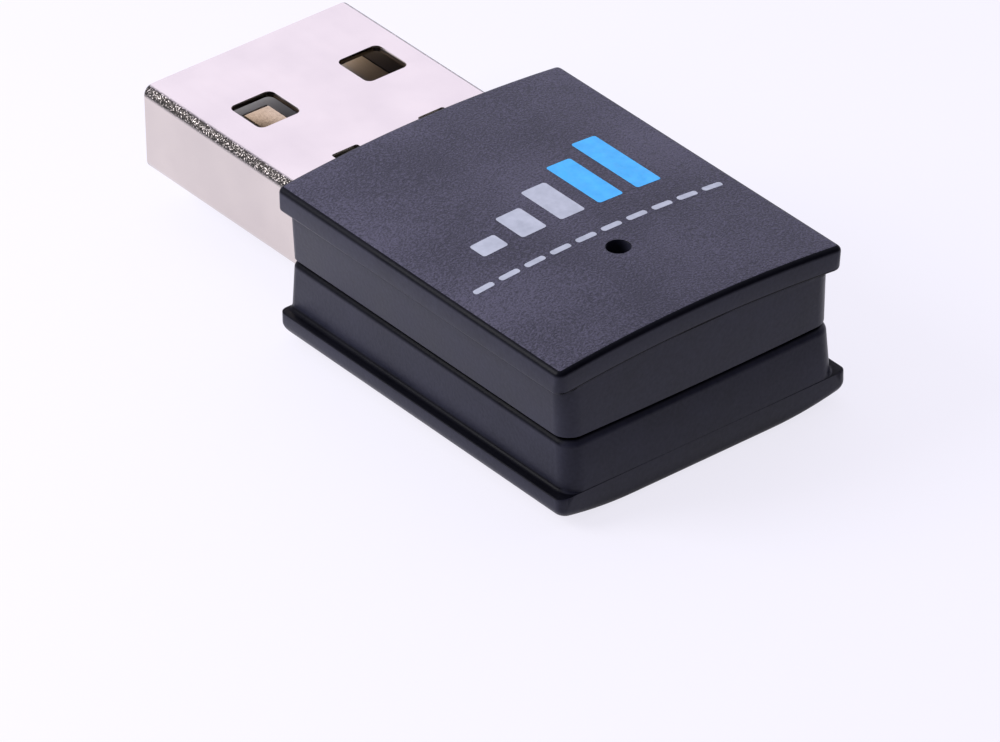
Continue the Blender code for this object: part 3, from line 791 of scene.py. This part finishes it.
def buildTongue():
    f = tongueForm
    gap = f["gap"]
    tongueTop = resinLow.z + f["thick"]
    blockFront = faceX - f["blockReach"]
    blockTop = shellHigh.z - plugForm["sheet"] - gap
    piece = addBox("tongueBlock", resinLow, (resinHigh.x, resinHigh.y, tongueTop))
    cutOnce(piece, axisX, blockFront)
    pick(piece, 'FACE', lambda face: face.normal.z > limits["facing"] and face.center.x / mm > blockFront)
    push(0, 0, blockTop - tongueTop)
    leaveEdit()
    pick(piece, 'EDGE', along(piece, axisX, lambda place: abs(place.z - tongueTop) > limits["near"]))
    roundPicked(f["edge"], facets["edge"])
    pick(piece, 'EDGE', flatAt(piece, axisX, resinLow.x))
    roundPicked(f["frontRound"], facets["least"])
    for side in (-1, 1):
        slotY = side * plugForm["latchSpacing"] / 2 + plugForm["punchShift"]
        slot = (faceX - plugForm["latchSetback"], slotY, blockTop)
        pocket = addBox("pocket", [a - b for a, b in zip(slot, f["pocketLow"])],
                        [a + b for a, b in zip(slot, f["pocketHigh"])])
        combine(piece, pocket, 'DIFFERENCE')
    for name in contactNames:
        low, high = [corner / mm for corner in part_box(name)]
        groove = addBox("groove", (low.x - gap, low.y - gap, high.z - stripForm["thick"] - gap),
                        (high.x, high.y + gap, high.z + gap))
        combine(piece, groove, 'DIFFERENCE')
    softenEdges(piece, f["soft"])
    smooth(piece)
    return piece


def buildStrip(name):  # one contact: a run along the tongue, a drop and a foot on the board
    f = stripForm
    low, high = [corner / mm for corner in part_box(name)]
    dropEnd = high.x - f["foot"] + f["thick"] / 2
    dropStart = dropEnd - f["thick"]
    footTop = low.z + f["thick"]
    piece = addBox(name + "_strip", (low.x, low.y, high.z - f["thick"]), (dropEnd, high.y, high.z))
    cutOnce(piece, axisX, dropStart)
    pick(piece, 'FACE', lambda face: face.normal.z < -limits["facing"] and face.center.x / mm > dropStart)
    push(0, 0, low.z - high.z + f["thick"])
    cutAcross(axisZ, footTop)
    leaveEdit()
    pick(piece, 'FACE', lambda face: face.normal.x > limits["facing"] and face.center.z / mm < footTop)
    push(high.x - dropEnd, 0, 0)
    leaveEdit()
    pick(piece, 'EDGE', along(piece, axisY, lambda place: place.x < low.x + limits["near"]
                              and place.z > high.z - limits["near"]))
    roundPicked(f["tipRound"], facets["edge"])
    softenEdges(piece, f["soft"])
    smooth(piece)
    return piece


tongueBlock = buildTongue()
coat(tongueBlock, finishes["insulator_resin"])
dress(tongueBlock, "insulator_resin", "plug_insulator")
for name in contactNames:
    strip = buildStrip(name)
    coat(strip, finishes["gilt_contact"])
    dress(strip, "gilt_contact", name)

print("stage: print")
printForm = {  # plain rising bars and a dashed rule, in millimetres from the plug end of the case
    "barFoot": 11.0, "barLow": 1.1, "barRise": 0.92, "barWide": 1.4, "barStart": -4.95, "barPitch": 2.2,
    "barCount": 5, "blueFrom": 3,
    "dashFoot": 13.0, "dashDeep": 0.34, "dashLong": 1.1, "dashStart": -7.0, "dashPitch": 1.46,
    "dashCount": 10,
    "corner": 0.14, "sunk": 0.03, "proud": 0.006, "cuts": 6,
}
printInks = {  # rows as in mottledLooks
    "printSilver": ("silver_ink", (0.36, 0.385, 0.45), (0.46, 0.485, 0.56), 1800, 0.42, 0.60),
    "printBlue": ("blue_ink", (0.022, 0.37, 0.80), (0.036, 0.45, 0.92), 1800, 0.42, 0.60),
}


def addMark(name, lowX, highX, lowY, highY):
    f = printForm
    mark = addBox(name, (lowX, lowY, sideTop - f["sunk"]), (highX, highY, sideTop + f["proud"]))
    pick(mark, 'EDGE', along(mark, axisZ))
    roundPicked(f["corner"], facets["low"])
    sliceAcross(mark, axisY, lowY, highY, f["cuts"])
    liftPoints(mark, lambda place: True, lambda place: crownAt(place.y))
    return mark


def joinMarks(name, marks):
    clearSelection()
    for mark in marks:
        mark.select_set(True)
    bpy.context.view_layer.objects.active = marks[0]
    bpy.ops.object.join()
    piece = bpy.context.object
    piece.name = name
    piece.data.name = name
    return piece


def buildPrint():
    f = printForm
    silver = []
    blue = []
    foot = faceX + f["barFoot"]
    for i in range(f["barCount"]):
        y = f["barStart"] + i * f["barPitch"]
        mark = addMark("bar", foot - f["barLow"] - i * f["barRise"], foot, y, y + f["barWide"])
        (blue if i >= f["blueFrom"] else silver).append(mark)
    foot = faceX + f["dashFoot"]
    for i in range(f["dashCount"]):
        y = f["dashStart"] + i * f["dashPitch"]
        silver.append(addMark("dash", foot - f["dashDeep"], foot, y, y + f["dashLong"]))
    return joinMarks("printSilver", silver), joinMarks("printBlue", blue)


for piece in buildPrint():
    coat(piece, mottled(*printInks[piece.name]))
    dress(piece, "case_plastic")

print("stage: floor and light")
studio = {  # metres and watts
    "floorSize": 3.0, "floorCloud": (3, 2), "floorSpan": (0.3, 0.7), "floorMottle": 0.992,
    "floorColour": (0.72, 0.705, 0.77), "floorRough": 0.9, "floorSpecular": 0.1,
    "seenColour": (0.155, 0.152, 0.165), "seenGlow": (0.93, 0.91, 1.0), "seenLevel": 0.845,
    "skyColour": (0.85, 0.83, 1.0), "skySide": (-0.77, 0.42, 0.48), "skySpan": (0.0, 0.85, 0.30, 1.47),
    "dimSide": (1, 0, 0), "dimSpan": (0.1, 0.8, 1.0, 0.34),
    "keyPlace": (-0.060, -0.092, 0.078), "keyAim": (0.004, 0, 0.003), "keySize": 0.083, "keyPower": 0.158,
}


def addFloor(setup):
    clearSelection()
    bpy.ops.mesh.primitive_plane_add(size=setup["floorSize"], location=(0, 0, 0))
    floor = bpy.context.object
    floor.name = "floor"
    m = materialBench("pale_floor")
    base = setup["seenColour"]
    darker = tuple(c * setup["floorMottle"] for c in base)
    seenFloor = m.ramp(m.noise(*setup["floorCloud"]), tuple(zip(setup["floorSpan"], (darker, base))))
    ray = m.add("ShaderNodeLightPath").outputs
    seen = m.math('ADD', ray["Is Camera Ray"], ray["Is Glossy Ray"])
    seen = m.math('MINIMUM', m.math('ADD', seen, ray["Is Transmission Ray"]), 1)
    m.feed({
        "Base Color": m.blend(seen, setup["floorColour"], seenFloor),
        "Roughness": setup["floorRough"],
        "Specular IOR Level": setup["floorSpecular"],
        "Emission Color": setup["seenGlow"],
        "Emission Strength": m.times(seen, setup["seenLevel"]),
    })
    floor.data.materials.append(m.owner)


def addLamp(setup):
    data = bpy.data.lights.new("keyLamp", 'AREA')
    data.shape = 'DISK'
    data.size = setup["keySize"]
    data.energy = setup["keyPower"]
    lamp = bpy.data.objects.new("keyLamp", data)
    bpy.context.scene.collection.objects.link(lamp)
    lamp.location = setup["keyPlace"]
    aside = Vector(setup["keyPlace"]) - Vector(setup["keyAim"])
    lamp.rotation_euler = aside.to_track_quat('Z', 'Y').to_euler()


def addWorld(setup):  # a soft sky, brightest behind the plug and dim past the closed end
    world = bpy.data.worlds.new("studio")
    bpy.context.scene.world = world
    m = NodeBench(world, "Background")

    def facing(direction, span):
        dot = m.add("ShaderNodeVectorMath", operation='DOT_PRODUCT')
        dot.inputs[1].default_value = direction
        m.join(m.coords.outputs["Generated"], dot.inputs[0])
        return m.remap(dot.outputs["Value"], *span)

    glow = facing(setup["skySide"], setup["skySpan"])
    dim = facing(setup["dimSide"], setup["dimSpan"])
    m.feed({"Color": setup["skyColour"], "Strength": m.times(glow, dim)})


addFloor(studio)
addLamp(studio)
addWorld(studio)
bpy.context.scene.view_settings.view_transform = 'Standard'
